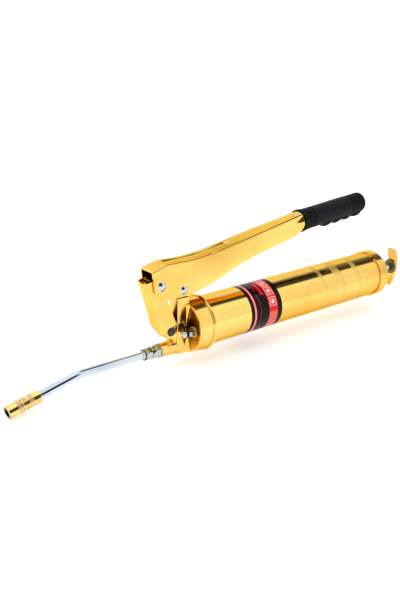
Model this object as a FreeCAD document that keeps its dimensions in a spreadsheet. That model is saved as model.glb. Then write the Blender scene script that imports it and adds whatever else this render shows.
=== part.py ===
import FreeCAD, Part
import math
import operator
import os

import Sketcher
from FreeCAD import Placement, Rotation, Vector

# Lever grease gun, 400 g cartridge size.
#
# Frame, in millimetres: the origin is on the barrel's axis, in the middle of the bare stretch that
# a wall clip holds. +X runs along the barrel towards the pull handle, -X towards the grease
# coupler. +Z is up, towards the pump lever, and Y is across the gun.
#
# The gun is shown with the lever closed on the barrel, the follower pushed home and nothing
# connected to the coupler.

DIMENSIONS = [
    # barrel and end cap
    ("barrel_radius", 28.25, "outside of the drawn tube"),
    ("barrel_wall", 1.2, "tube wall, which leaves room for a 53.5 mm cartridge"),
    ("barrel_front", -150.0, "end that seats in the head"),
    ("barrel_rear", 155.2, "end inside the cap"),
    ("band_depth", 0.2, "depth of the three rolled grip bands"),
    ("band_a_start", 36.5, ""), ("band_a_end", 42.3, ""),
    ("band_b_start", 60.9, ""), ("band_b_end", 73.2, ""),
    ("band_c_start", 96.3, ""), ("band_c_end", 104.1, ""),
    ("label_start", -83.4, ""), ("label_end", -35.4, ""),
    ("label_film", 0.15, "printed film round the barrel"),
    ("cap_front", 141.5, ""), ("cap_rear", 157.0, ""),
    ("cap_radius", 29.2, ""), ("cap_lip_radius", 29.9, ""), ("cap_plate", 1.6, ""),
    ("fit_gap", 0.05, "radial clearance of a running fit"),
    # head casting
    ("head_front", -160.3, "front plane of the collar"),
    ("head_seat", -151.5, "inside wall that the barrel gasket lies on"),
    ("collar_rear", -139.2, ""),
    ("collar_radius", 30.1, "collar at its front edge"),
    ("collar_rear_radius", 30.9, "collar in front of the bead"),
    ("bead_start", -142.5, ""), ("bead_root", 31.5, ""), ("bead_curve", 1.9, ""),
    ("pocket_floor", -154.5, ""), ("pocket_radius", 27.6, ""),
    ("pocket_side", 8.4, "middle of the pocket's bowed inner wall"),
    ("pocket_bow", 131.0, "radius of that wall"),
    ("tower_front", -175.4, ""), ("tower_front_half", 7.5, ""), ("tower_rear_half", 8.2, ""),
    ("tower_top", 36.8, ""), ("tower_bottom", -28.0, ""), ("tower_edge", 1.2, "edge rounding"),
    ("flare_start", -165.0, "where the tower starts to widen into the collar"),
    ("flare_half", 11.8, "half width of the tower where it meets the collar"),
    ("outlet_height", -20.7, "height of the outlet passage and the pipe"),
    ("boss_front", -195.3, ""), ("boss_front_radius", 7.7, ""), ("boss_rear_radius", 8.7, ""),
    # lever linkage, at the closed position
    ("link_pin_x", -185.0, "pin between head and link"), ("link_pin_z", 1.5, ""),
    ("lever_pin_x", -200.0, "rivet between link and lever"), ("lever_pin_z", 57.4, ""),
    ("plunger_pin_x", -169.7, "rivet between lever and plunger"), ("plunger_pin_z", 47.1, ""),
    ("pin_radius", 3.0, ""), ("pin_gap", 0.05, ""),
    ("pin_play", 1.15, "half of the sideways play that the plunger's eye gives its pin"),
    ("eye_gap", 0.3, "clearance above and below the pin in the plunger's eye"),
    ("lug_half", 6.6, ""), ("lug_radius", 9.0, ""),
    ("sheet", 2.0, "steel sheet of lever and link"),
    ("link_half", 8.9, "half of the link's width"),
    ("lever_half", 11.2, "half of the lever's width at the linkage"),
    ("lever_neck_half", 9.3, "half of the lever's width at the grip"),
    ("tang_half", 7.2, "half of the width and height of the tang in the grip"),
    ("crown_edge", 2.4, "rounding of the lever's top edges"),
    ("crown_edge_rear", 4.0, "the same at the grip"),
    ("round_end", 12.2, "radius of the lever's rounded end in the grip's mouth"),
    ("plunger_radius", 4.0, ""), ("plunger_bottom", -14.0, ""),
    ("eye_half", 6.0, "half of the eye's width"), ("eye_reach", 7.6, ""),
    # grip
    ("grip_x", 11.5, "centre of the grip's front rim"), ("grip_z", 92.3, ""),
    ("grip_tilt", 4.26, "degrees, rising to the rear"),
    ("grip_radius", 12.35, ""), ("grip_rim", 13.9, ""), ("grip_length", 110.5, ""),
    ("finger_first", 47.0, ""), ("finger_pitch", 18.0, ""),
    # follower and pull rod
    ("rod_radius", 4.0, ""), ("rod_front", -150.3, ""), ("handle_x", 197.0, "face of the handle"),
    ("handle_half", 24.7, "half of the handle's span"), ("handle_width_half", 5.75, ""),
    ("handle_curve", 76.0, "front face of the bow"), ("handle_rim_curve", 46.0, "rear rim"),
    ("handle_depth", 7.0, ""), ("handle_sheet", 1.6, ""), ("handle_turn", 3.0, "degrees"),
    ("hub_radius", 9.6, ""), ("hub_thick", 3.2, ""),
    ("cup_radius", 26.75, ""),
    # outlet fittings and pipe
    ("hex_flats", 14.0, "adapter, across flats"), ("nut_flats", 13.0, "pipe nut, across flats"),
    ("pipe_radius", 4.5, ""), ("pipe_bore", 2.6, ""),
    ("bend_x", -300.8, "where the pipe's two straight runs would meet"),
    ("bend_angle", 12.5, "degrees, down towards the coupler"), ("bend_radius", 80.0, ""),
    # coupler
    ("mouth_x", -381.1, "centre of the coupler's mouth"), ("coupler_radius", 7.1, ""),
    ("coupler_length", 37.0, ""), ("mouth_radius", 4.0, ""), ("sleeve_length", 16.0, ""),
    # bleeder valve
    ("bleeder_y", -17.0, ""), ("bleeder_z", -1.6, ""), ("bleeder_seat", -160.8, ""),
    ("bleeder_flats", 9.0, ""), ("button_radius", 4.1, ""),
]

doc = FreeCAD.newDocument("grease_gun")
sheet = doc.addObject("Spreadsheet::Sheet", "dims")

OPERATIONS = {"+": operator.add, "-": operator.sub, "*": operator.mul, "/": operator.truediv}


class Size:
    """A cell of the sheet, or a formula of cells, together with its present value."""

    def __init__(self, formula, value):
        self.formula = formula
        self.value = value

    def __add__(self, other):
        return joined(self, "+", other)

    def __radd__(self, other):
        return joined(other, "+", self)

    def __sub__(self, other):
        return joined(self, "-", other)

    def __rsub__(self, other):
        return joined(other, "-", self)

    def __mul__(self, other):
        return joined(self, "*", other)

    def __rmul__(self, other):
        return joined(other, "*", self)

    def __truediv__(self, other):
        return joined(self, "/", other)

    def __neg__(self):
        return joined(0, "-", self)


def formula_of(size):
    return size.formula if isinstance(size, Size) else str(size)


def value_of(size):
    return size.value if isinstance(size, Size) else float(size)


def joined(left, sign, right):
    formula = "(" + formula_of(left) + " " + sign + " " + formula_of(right) + ")"
    return Size(formula, OPERATIONS[sign](value_of(left), value_of(right)))


def fill_sheet():
    """Write the driving dimensions into the sheet and return them by name."""
    sizes = {}
    for row, (alias, number, note) in enumerate(DIMENSIONS, start=1):
        cell = "B" + str(row)
        sheet.set("A" + str(row), alias)
        sheet.set(cell, str(number))
        sheet.setAlias(cell, alias)
        if note:
            sheet.set("C" + str(row), note)
        sizes[alias] = Size("dims." + alias, number)
    doc.recompute()
    return sizes


d = fill_sheet()


# ---- building blocks -------------------------------------------------------------------------

TURN = {
    "x": Rotation(Vector(0, 1, 0), 90),
    "y": Rotation(Vector(1, 0, 0), -90),
    "z": Rotation(),
}
ORDER = {"x": ("x", "y", "z"), "y": ("y", "x", "z"), "z": ("z", "x", "y")}


def bind(obj, **sizes):
    """Drive an object's properties from the sheet."""
    for name, size in sizes.items():
        obj.setExpression(name, formula_of(size))


def put(obj, rotation, **base):
    """Turn an object, then drive its position from the sheet."""
    obj.Placement = Placement(Vector(), rotation)
    for axis, size in base.items():
        obj.setExpression("Placement.Base." + axis, formula_of(size))
    return obj


def along(obj, axis, start, centre):
    """Stand an object whose own axis is Z along a row axis, from start, at centre across it."""
    names = ORDER[axis]
    return put(obj, TURN[axis], **{names[0]: start, names[1]: centre[0], names[2]: centre[1]})


def rod(name, axis, start, end, radius, centre=(0, 0)):
    obj = doc.addObject("Part::Cylinder", name)
    bind(obj, Radius=radius, Height=end - start)
    return along(obj, axis, start, centre)


def cone(name, axis, start, end, first_radius, last_radius, centre=(0, 0)):
    obj = doc.addObject("Part::Cone", name)
    bind(obj, Radius1=first_radius, Radius2=last_radius, Height=end - start)
    return along(obj, axis, start, centre)


def hexagon(name, start, end, flats, centre=(0, 0)):
    """A hexagonal bar along X."""
    obj = doc.addObject("Part::Prism", name)
    obj.Polygon = 6
    bind(obj, Circumradius=flats * (1 / math.sqrt(3)), Height=end - start)
    return along(obj, "x", start, centre)


def ball(name, radius, **centre):
    obj = doc.addObject("Part::Sphere", name)
    bind(obj, Radius=radius)
    return put(obj, Rotation(), **centre)


def block(name, x, y, z):
    """A box from its lowest to its highest x, y and z."""
    obj = doc.addObject("Part::Box", name)
    bind(obj, Length=x[1] - x[0], Width=y[1] - y[0], Height=z[1] - z[0])
    return put(obj, Rotation(), x=x[0], y=y[0], z=z[0])


def ring(name, axis, start, end, outer, inner, centre=(0, 0)):
    """A washer or short tube."""
    skin = rod(name + "_skin", axis, start, end, outer, centre)
    hole = rod(name + "_hole", axis, start - 1, end + 1, inner, centre)
    return cut(name, skin, hole)


def fused(name, *shapes):
    obj = doc.addObject("Part::MultiFuse", name)
    obj.Shapes = list(shapes)
    obj.Refine = True
    return obj


def shared(name, first, second):
    obj = doc.addObject("Part::Common", name)
    obj.Base, obj.Tool = first, second
    return obj


def cut(name, base, *tools):
    obj = doc.addObject("Part::Cut", name)
    obj.Base = base
    obj.Tool = tools[0] if len(tools) == 1 else fused(name + "_tools", *tools)
    return obj


def arc_between(start, end, radius):
    """The short arc from start to end. A positive radius bulges to the right of the way along."""
    chord = end - start
    across = Vector(-chord.y, chord.x, 0).normalize()
    size = abs(radius)
    rise = math.sqrt(size ** 2 - (chord.Length / 2) ** 2)
    centre = start + chord * 0.5 + across * math.copysign(rise, radius)
    first, last = (start, end) if radius > 0 else (end, start)
    angles = [math.atan2(p.y - centre.y, p.x - centre.x) for p in (first, last)]
    return Part.ArcOfCircle(Part.Circle(centre, Vector(0, 0, 1), size), angles[0], angles[1])


def draw(sketch, corners, closed=True):
    """Draw an outline and tie each corner to the sheet.

    A corner is (across, up), or (across, up, radius) where an arc leads to it.
    """
    spots = [Vector(value_of(c[0]), value_of(c[1]), 0) for c in corners]
    count = len(corners)
    sides = count if closed else count - 1
    ends = []
    for i in range(sides):
        j = (i + 1) % count
        bulge = value_of(corners[j][2]) if len(corners[j]) == 3 else 0
        if bulge:
            sketch.addGeometry(arc_between(spots[i], spots[j], bulge), False)
            sketch.addConstraint(Sketcher.Constraint("Radius", i, abs(bulge)))
        else:
            sketch.addGeometry(Part.LineSegment(spots[i], spots[j]), False)
        ends.append((1, 2) if bulge >= 0 else (2, 1))
    for i in range(sides if closed else sides - 1):
        j = (i + 1) % count
        sketch.addConstraint(Sketcher.Constraint("Coincident", i, ends[i][1], j, ends[j][0]))
    for i, corner in enumerate(corners):
        side, end = (i, ends[i][0]) if i < sides else (i - 1, ends[i - 1][1])
        for kind, size in (("DistanceX", corner[0]), ("DistanceY", corner[1])):
            number = sketch.addConstraint(
                Sketcher.Constraint(kind, -1, 1, side, end, value_of(size))
            )
            if isinstance(size, Size):
                sketch.setExpression("Constraints[" + str(number) + "]", size.formula)


def body_sketch(body, role, name):
    sketch = body.newObject("Sketcher::SketchObject", name)
    plane = [f for f in body.Origin.OriginFeatures if f.Role == role][0]
    sketch.AttachmentSupport = [(plane, "")]
    sketch.MapMode = "FlatFace"
    return sketch


def turned(name, corners):
    """A body turned about its own X axis. Corners are (along the axis, radius)."""
    body = doc.addObject("PartDesign::Body", name)
    sketch = body_sketch(body, "XZ_Plane", name + "_outline")
    draw(sketch, corners)
    spin = body.newObject("PartDesign::Revolution", name + "_turning")
    spin.Profile = sketch
    spin.ReferenceAxis = (sketch, ["H_Axis"])
    spin.Angle = 360
    return body


def plate(name, corners, half_width):
    """A body cut from plate. Corners are (x, z), and its middle is at y = 0."""
    body = doc.addObject("PartDesign::Body", name)
    sketch = body_sketch(body, "XZ_Plane", name + "_outline")
    draw(sketch, corners)
    pad = body.newObject("PartDesign::Pad", name + "_pad")
    pad.Profile = sketch
    pad.SideType = "Symmetric"
    bind(pad, Length=half_width * 2)
    return body


def column(name, corners, low, high):
    """A body cut from plate that lies flat. Corners are (x, y)."""
    body = doc.addObject("PartDesign::Body", name)
    sketch = body_sketch(body, "XY_Plane", name + "_outline")
    draw(sketch, corners)
    pad = body.newObject("PartDesign::Pad", name + "_pad")
    pad.Profile = sketch
    bind(pad, Length=high - low)
    return put(body, Rotation(), z=low)


def rounded(body, name, radius, chosen):
    """Round the edges of a body that chosen picks."""
    doc.recompute()
    last, edges = body.Tip, body.Shape.Edges
    picked = ["Edge" + str(i) for i, edge in enumerate(edges, start=1) if chosen(edge)]
    fillet = body.newObject("PartDesign::Fillet", name)
    fillet.Base = (last, picked)
    bind(fillet, Radius=radius)
    body.Tip = fillet
    return body


def coil(name, axis, start, end, radius, wire, turns, centre=(0, 0)):
    """A compression spring: its wire runs from start to end along a row axis."""
    path = doc.addObject("Part::Helix", name + "_path")
    path.SegmentLength = 1
    path.Pitch = value_of(end - start) / turns
    path.Height = value_of(end - start)
    bind(path, Radius=radius, Height=end - start, Pitch=(end - start) / turns)
    section = doc.addObject("Part::Circle", name + "_wire")
    bind(section, Radius=wire)
    section.Placement = Placement(Vector(value_of(radius), 0, 0), Rotation(Vector(1, 0, 0), 90))
    sweep = doc.addObject("Part::Sweep", name)
    sweep.Sections = [section]
    sweep.Spine = (path, [])
    sweep.Solid = True
    sweep.Frenet = True
    return along(sweep, axis, start, centre)


def straight_up(edge):
    return abs(edge.tangentAt(edge.FirstParameter).z) > 0.99


# ---- barrel, label and end cap -----------------------------------------------------------------

def make_barrel():
    outer, floor = d["barrel_radius"], d["barrel_radius"] - d["band_depth"]
    corners = [(d["barrel_front"], outer)]
    for band in ("band_a", "band_b", "band_c"):
        start, end = d[band + "_start"], d[band + "_end"]
        corners += [(start, outer), (start, floor), (end, floor), (end, outer)]
    inner = outer - d["barrel_wall"]
    corners += [(d["barrel_rear"], outer), (d["barrel_rear"], inner), (d["barrel_front"], inner)]
    turned("barrel", corners)


def make_label():
    surface = d["barrel_radius"]
    ring("label_band", "x", d["label_start"], d["label_end"], surface + d["label_film"], surface)


def make_end_cap():
    bore = d["barrel_radius"] + d["fit_gap"]
    front, rear, radius = d["cap_front"], d["cap_rear"], d["cap_radius"]
    rod_hole = d["rod_radius"] + 0.3
    turned("end_cap", [
        (front, bore),
        (front, d["cap_lip_radius"]),
        (front + 1.8, d["cap_lip_radius"]),
        (front + 2.6, radius),
        (rear - 2.5, radius),
        (rear, radius - 2.5, -2.5),
        (rear, rod_hole),
        (rear - d["cap_plate"], rod_hole),
        (rear - d["cap_plate"], bore),
    ])


# ---- head casting ------------------------------------------------------------------------------

PUMP_X = d["plunger_pin_x"] + d["pin_play"]
PUMP_BORE = d["plunger_radius"] + d["fit_gap"]
VALVE_SEAT = PUMP_X - 4.0
ADAPTER_NOSE = d["boss_front"] + 6.0
BLEEDER_AT = (d["bleeder_y"], d["bleeder_z"])
BLEEDER_SEAT = d["bleeder_seat"]


def head_solids():
    front, rear = d["head_front"], d["collar_rear"]
    bore = d["barrel_radius"] + d["fit_gap"]
    collar = turned("collar", [
        (d["head_seat"], 0),
        (front, 0),
        (front, d["collar_radius"] - 0.6),
        (front + 0.6, d["collar_radius"]),
        (d["bead_start"] - 1.0, d["collar_rear_radius"]),
        (d["bead_start"] - 0.6, d["collar_rear_radius"] - 0.7),
        (d["bead_start"], d["collar_rear_radius"] - 0.7),
        (d["bead_start"], d["bead_root"]),
        (rear, d["bead_root"], -d["bead_curve"].value),
        (rear, bore),
        (d["head_seat"], bore),
    ])
    tower_front, flare = d["tower_front"], d["flare_start"]
    front_half, rear_half = d["tower_front_half"], d["tower_rear_half"]
    tower = column("tower", [
        (tower_front, -front_half),
        (flare, -rear_half),
        (front, -rear_half),
        (front, rear_half),
        (flare, rear_half),
        (tower_front, front_half),
    ], d["tower_bottom"], d["tower_top"])
    rounded(tower, "tower_edges", d["tower_edge"], lambda edge: straight_up(edge)
            and edge.BoundBox.XMax < tower_front.value + 1)
    flare_half = d["flare_half"]
    flare_plan = column("flare_plan", [
        (flare, -rear_half),
        (front, -flare_half, -5.2),
        (front + 2, -flare_half),
        (front + 2, flare_half),
        (front, flare_half),
        (flare, rear_half, -5.2),
    ], d["tower_bottom"], -d["tower_bottom"])
    flare_disc = rod("flare_disc", "x", flare - 1, front + 3, d["collar_radius"] - 1)
    pin_x, pin_z = d["link_pin_x"], d["link_pin_z"]
    reach = d["lug_radius"]
    behind = d["tower_front"] + 1
    lug_plate = block("lug_plate", (pin_x, behind), (-d["lug_half"], d["lug_half"]),
                      (pin_z - reach, pin_z + reach))
    lug_end = rod("lug_end", "y", -d["lug_half"], d["lug_half"], reach, (pin_x, pin_z))
    rib = plate("lug_rib", [
        (pin_x + 1, pin_z - reach + 2),
        (behind, d["outlet_height"] + 1.5),
        (behind, pin_z - reach + 2),
    ], d["lug_half"] - 0.6)
    boss = cone("outlet_boss", "x", d["boss_front"], d["tower_front"] + 2,
                d["boss_front_radius"], d["boss_rear_radius"], (0, d["outlet_height"]))
    flared = shared("tower_flare", flare_plan, flare_disc)
    return [collar, tower, flared, lug_plate, lug_end, rib, boss]


def pocket(name, side):
    """A cast recess in the collar's front face, on one side of the tower, with a sloping floor."""
    start, floor = d["head_front"] - 8, d["pocket_floor"]
    disc = rod(name + "_disc", "x", start, floor, d["pocket_radius"])
    middle = (d["pocket_side"] + d["pocket_bow"]) * side
    bow = rod(name + "_bow", "x", start, floor, d["pocket_bow"], (middle, 3.0))
    slope = plate(name + "_slope", [
        (start, -28),
        (d["head_front"], -27),
        (floor, 2),
        (floor, 32),
        (start, 32),
    ], 40)
    return shared(name, shared(name + "_plan", disc, bow), slope)


def head_passages():
    seat, port_z = d["head_seat"], 5.0
    height = d["outlet_height"]
    return [
        rod("pump_bore", "z", d["plunger_bottom"] - 1.5, d["tower_top"] + 5, PUMP_BORE,
            (PUMP_X, 0)),
        rod("pump_drain", "z", height, d["plunger_bottom"], 2.2, (PUMP_X, 0)),
        rod("seal_groove", "z", 30.9, 34.1, 5.85, (PUMP_X, 0)),
        rod("inlet_port", "x", PUMP_X, seat + 1, 2.5, (0, port_z)),
        rod("outlet_drain", "x", VALVE_SEAT - 1, PUMP_X, 1.8, (0, height)),
        rod("outlet_chamber", "x", ADAPTER_NOSE - 1, VALVE_SEAT, 3.6, (0, height)),
        rod("outlet_thread", "x", d["boss_front"] - 1, ADAPTER_NOSE, 5.0, (0, height)),
        rod("lug_hole", "y", -15, 15, d["pin_radius"] + d["pin_gap"],
            (d["link_pin_x"], d["link_pin_z"])),
        rod("bleeder_hole", "x", BLEEDER_SEAT - 1, seat + 1, 3.5, BLEEDER_AT),
    ]


def make_head():
    pockets = [pocket("pocket_near", -1), pocket("pocket_far", 1)]
    recessed = cut("head_recessed", fused("head_solids", *head_solids()), *pockets)
    pad = rod("bleeder_pad", "x", BLEEDER_SEAT, d["pocket_floor"] + 1, 6.2, BLEEDER_AT)
    cut("head", fused("head_padded", recessed, pad), *head_passages())


def make_barrel_gasket():
    ring("barrel_gasket", "x", d["head_seat"], d["barrel_front"], 28.0, 25.4)


def make_plunger_seal():
    ring("plunger_seal", "z", 31.0, 34.0, 5.8, PUMP_BORE + 0.02, (PUMP_X, 0))


# ---- lever linkage -----------------------------------------------------------------------------

def grip_line(x, offset):
    """Height of a line alongside the grip's axis."""
    slope = math.tan(math.radians(d["grip_tilt"].value))
    return d["grip_z"] + (x - d["grip_x"]) * slope + offset


LEVER_TOP = [(-211.9, 75.9), (-193.3, 80.0), (-165.0, 79.0), (-120.0, 82.4, 296.0), (9.0, 102.3)]
TANG_START, TANG_END = 26.0, 100.0


def lever_side(name, drop, floor):
    """The lever seen from the side, its top lowered by drop, down to its edge or to a floor."""
    crown = [(c[0], c[1] - drop) + tuple(c[2:]) for c in LEVER_TOP]
    tang = d["tang_half"]
    crown += [(TANG_START, grip_line(TANG_START, tang - drop)),
              (TANG_END, grip_line(TANG_END, tang - drop))]
    if floor is None:
        base = [
            (TANG_END, grip_line(TANG_END, -tang)),
            (TANG_START, grip_line(TANG_START, -tang)),
            (7.8, 82.3),
            (1.7, 78.2),
            (-66.0, 66.3),
            (-112.0, 52.2, 215.0),
            (-163.0, 39.8, -280.0),
            (-190.0, 40.0),
            (-206.5, 49.6),
            (-209.4, 54.0, -5.0),
        ]
    else:
        base = [(TANG_END + 5, grip_line(TANG_END + 5, tang - drop)),
                (TANG_END + 5, floor), (-215.0, floor), (-215.0, crown[0][1] - 0.6)]
    sketch = doc.addObject("Sketcher::SketchObject", name + "_outline")
    sketch.Placement = Placement(Vector(), Rotation(Vector(1, 0, 0), 90))
    draw(sketch, crown + base)
    return sketch


def extruded(name, sketch, direction, start, length):
    obj = doc.addObject("Part::Extrusion", name)
    obj.Base = sketch
    obj.DirMode = "Custom"
    obj.Dir = direction
    obj.Solid = True
    bind(obj, LengthFwd=length)
    offset = {"y": start} if abs(direction.y) > 0.5 else {"z": start}
    return put(obj, Rotation(), **offset)


def lever_volume(name, inset, drop, floor=None):
    """Everything inside the lever's outside faces, less an inset at the sides and the top."""
    half = d["lever_half"] - inset
    side = extruded(name + "_side", lever_side(name + "_side", drop, floor),
                    Vector(0, 1, 0), -half, half * 2)
    plan = doc.addObject("Sketcher::SketchObject", name + "_plan_outline")
    neck, tang = d["lever_neck_half"] - inset, d["tang_half"] - inset
    right = [(-220, half), (-72, half), (9, neck), (TANG_START, tang), (TANG_END + 6, tang)]
    draw(plan, right + [(x, -y) for x, y in right[::-1]])
    top = extruded(name + "_plan", plan, Vector(0, 0, 1), 20, 110)
    return shared(name, side, top)


GROOVE_SPINE = [(-186.0, 89.8), (-150.0, 90.0), (-104.0, 95.6)]


def groove_tool(name, radius):
    """A round-ended bar that follows the pressed groove above the lever's web."""
    pieces = [ball(name + "_end_" + str(i), radius, x=x, z=z)
              for i, (x, z) in enumerate(GROOVE_SPINE)]
    for i in range(len(GROOVE_SPINE) - 1):
        start = Vector(GROOVE_SPINE[i][0], 0, GROOVE_SPINE[i][1])
        end = Vector(GROOVE_SPINE[i + 1][0], 0, GROOVE_SPINE[i + 1][1])
        bar = doc.addObject("Part::Cylinder", name + "_bar_" + str(i))
        bind(bar, Radius=radius)
        bar.Height = (end - start).Length
        bar.Placement = Placement(start, Rotation(Vector(0, 0, 1), end - start))
        pieces.append(bar)
    return fused(name, *pieces)


def on_crown(edge):
    """True for the edges where the lever's top turns down into its sides, as far as the tang."""
    box = edge.BoundBox
    middle = edge.valueAt((edge.FirstParameter + edge.LastParameter) / 2)
    lengthwise = box.XLength > 5 and box.YLength < 5 and box.XMax < TANG_START + 0.5
    return lengthwise and middle.z > 76.0 + 0.05 * (middle.x + 200.0)


def lever_outside():
    """The lever's outside, with the pressed rounding of its top edges, fuller near the grip."""
    square = lever_volume("lever_square", 0, 0)
    doc.recompute()
    slim, full = d["crown_edge"].value, d["crown_edge_rear"].value
    picked = []
    for i, edge in enumerate(square.Shape.Edges, start=1):
        if on_crown(edge):
            box = edge.BoundBox
            picked.append((i, full if box.XMin > 0 else slim, full if box.XMax > 0 else slim))
    skin = doc.addObject("Part::Fillet", "lever_skin")
    skin.Base = square
    skin.Edges = picked
    return skin


def grip_cone(name, start, end, first_radius, last_radius):
    """A cone on the grip's axis, from start to end measured from the grip's rim."""
    tilt = math.radians(d["grip_tilt"].value)
    obj = doc.addObject("Part::Cone", name)
    bind(obj, Radius1=first_radius, Radius2=last_radius, Height=end - start)
    return put(obj, Rotation(Vector(0, 1, 0), 90 - d["grip_tilt"].value),
               x=d["grip_x"] + start * math.cos(tilt), z=d["grip_z"] + start * math.sin(tilt))


def make_lever():
    round_end = d["round_end"]
    skin = fused("lever_formed", lever_outside(),
                 grip_cone("lever_flare", -18.0, 0.0, round_end - 3.6, round_end),
                 grip_cone("lever_round", 0.0, 5.0, round_end, round_end - 0.2))
    hollow = lever_volume("lever_hollow", d["sheet"], 2.0, 20)
    bore = grip_cone("lever_flare_bore", -19.0, -1.0, round_end - 3.8 - d["sheet"],
                     round_end - 0.2 - d["sheet"])
    channel = cut("lever_channel", skin, hollow, bore)
    swage = shared("lever_swage", groove_tool("swage_under", 12.0 + d["sheet"]), skin)
    solid = fused("lever_solid", channel, swage)
    holes = [
        rod("lever_" + name + "_hole", "y", -15, 15, d["pin_radius"] + d["pin_gap"],
            (d[name + "_pin_x"], d[name + "_pin_z"]))
        for name in ("lever", "plunger")
    ]
    cut("lever", solid, groove_tool("swage_over", 12.0), *holes)


def make_grip():
    length, radius, rim = d["grip_length"], d["grip_radius"], d["grip_rim"]
    sleeve = turned("grip_sleeve", [
        (0, 0),
        (0, rim - 0.7),
        (0.7, rim, -0.8),
        (3.0, rim),
        (5.0, radius + 0.75),
        (22.0, radius),
        (length - 4, radius),
        (length, radius - 4, -4.0),
        (length, 0),
    ])
    tilt = Rotation(Vector(0, 1, 0), -d["grip_tilt"].value)
    put(sleeve, tilt, x=d["grip_x"], z=d["grip_z"])
    corner = Vector(d["grip_x"].value, 0, d["grip_z"].value)
    fingers = []
    for i in range(4):
        swell = doc.addObject("Part::Ellipsoid", "finger_swell_" + str(i))
        swell.Radius1, swell.Radius2, swell.Radius3 = 5.8, 7.7, 8.4
        along_grip = (d["finger_first"] + d["finger_pitch"] * i).value
        swell.Placement = Placement(corner + tilt.multVec(Vector(along_grip, 0, -9.4)), tilt)
        fingers.append(swell)
    cut("lever_grip", fused("grip_solid", sleeve, *fingers), doc.getObject("lever_formed"))


LINK_TOP, LINK_FOOT = (-218.2, 63.2), (-199.8, 6.0)


def make_link():
    pin_x, pin_z = d["link_pin_x"], d["link_pin_z"]
    side = [
        LINK_TOP,
        LINK_FOOT,
        (pin_x - 4.6, pin_z - 6.2),
        (pin_x + 7.5, pin_z + 1.8, 7.72),
        (pin_x + 7.4, pin_z + 6.5),
        (-190.6, 39.8),
        (-191.6, 57.0),
        (-199.5, 66.0, 8.7),
    ]
    skin = plate("link_skin", side, d["link_half"])
    front_edge = Vector(LINK_FOOT[0] - LINK_TOP[0], 0, LINK_FOOT[1] - LINK_TOP[1]).normalize()
    rounded(skin, "link_bends", 1.6, lambda edge: edge.Length > 50
            and abs(edge.tangentAt(edge.FirstParameter).dot(front_edge)) > 0.999)
    gap = d["sheet"].value * 1.045
    hollow = plate("link_hollow", [
        (LINK_TOP[0] + gap, 70),
        (LINK_TOP[0] + gap, LINK_TOP[1]),
        (LINK_FOOT[0] + gap, LINK_FOOT[1]),
        (LINK_FOOT[0] + gap, -12),
        (-170, -12),
        (-170, 70),
    ], d["link_half"] - d["sheet"])
    scallop = rod("link_scallop", "x", -225, -208, 11.5, (0, 73.0))
    holes = [
        rod("link_" + name + "_hole", "y", -15, 15, d["pin_radius"] + d["pin_gap"],
            (d[name + "_pin_x"], d[name + "_pin_z"]))
        for name in ("link", "lever")
    ]
    cut("link", skin, hollow, scallop, *holes)


def riveted_pin(name, x, z, half, head_radius, head_height, domed):
    """A pin along Y with a head at each end."""
    shank, end = d["pin_radius"], half + head_height
    if domed:
        dome = -(head_radius ** 2 + head_height ** 2) / (2 * head_height)
        corners = [
            (-end, 0), (-half, head_radius, dome), (-half, shank),
            (half, shank), (half, head_radius), (end, 0, dome),
        ]
    else:
        rim = head_radius - 0.4
        corners = [
            (-end, 0), (-end, rim), (-end + 0.4, head_radius), (-half, head_radius),
            (-half, shank), (half, shank), (half, head_radius), (end - 0.4, head_radius),
            (end, rim), (end, 0),
        ]
    put(turned(name, corners), Rotation(Vector(0, 0, 1), 90), x=x, z=z)


def make_pins():
    riveted_pin("lever_rivet", d["lever_pin_x"], d["lever_pin_z"], d["lever_half"], 5.6, 2.4, True)
    riveted_pin("plunger_rivet", d["plunger_pin_x"], d["plunger_pin_z"], d["lever_half"],
                5.0, 2.2, True)
    riveted_pin("link_pin", d["link_pin_x"], d["link_pin_z"], d["link_half"] + 0.1, 5.0, 1.0, False)


def make_plunger():
    pin_z, reach, half = d["plunger_pin_z"], d["eye_reach"], d["eye_half"]
    stem = rod("plunger_stem", "z", d["plunger_bottom"], pin_z, d["plunger_radius"], (PUMP_X, 0))
    eye = block("plunger_eye", (PUMP_X - reach, PUMP_X + reach), (-half, half),
                (pin_z - 5.8, pin_z + 6.2))
    slot_radius = d["pin_radius"] + d["eye_gap"]
    play = d["pin_play"]
    slot = fused("plunger_slot",
                 rod("slot_front", "y", -15, 15, slot_radius, (PUMP_X - play, pin_z)),
                 rod("slot_rear", "y", -15, 15, slot_radius, (PUMP_X + play, pin_z)),
                 block("slot_middle", (PUMP_X - play, PUMP_X + play), (-15, 15),
                       (pin_z - slot_radius, pin_z + slot_radius)))
    cut("plunger", fused("plunger_solid", stem, eye), slot)


# ---- follower, pull rod and handle -------------------------------------------------------------

CUP_X = -145.0
ROD_HOLE = d["rod_radius"] + d["fit_gap"]


def make_follower():
    ring("follower_front_plate", "x", CUP_X - 1.5, CUP_X, 20.0, ROD_HOLE)
    outer = d["cup_radius"]
    turned("follower_cup", [
        (CUP_X, ROD_HOLE),
        (CUP_X, 20.5),
        (CUP_X - 3.6, outer - 0.9),
        (CUP_X - 3.6, outer),
        (CUP_X, outer - 0.5),
        (CUP_X + 2.6, outer - 0.5),
        (CUP_X + 9.0, outer),
        (CUP_X + 9.0, outer - 1.4),
        (CUP_X + 3.0, outer - 3.4),
        (CUP_X + 3.0, ROD_HOLE),
    ])
    ring("follower_rear_plate", "x", CUP_X + 3.0, CUP_X + 4.5, 21.0, ROD_HOLE)
    coil("follower_spring", "x", CUP_X + 6.0, d["cap_rear"] - d["cap_plate"] - 1.5, 17.0, 1.2, 20)


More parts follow.
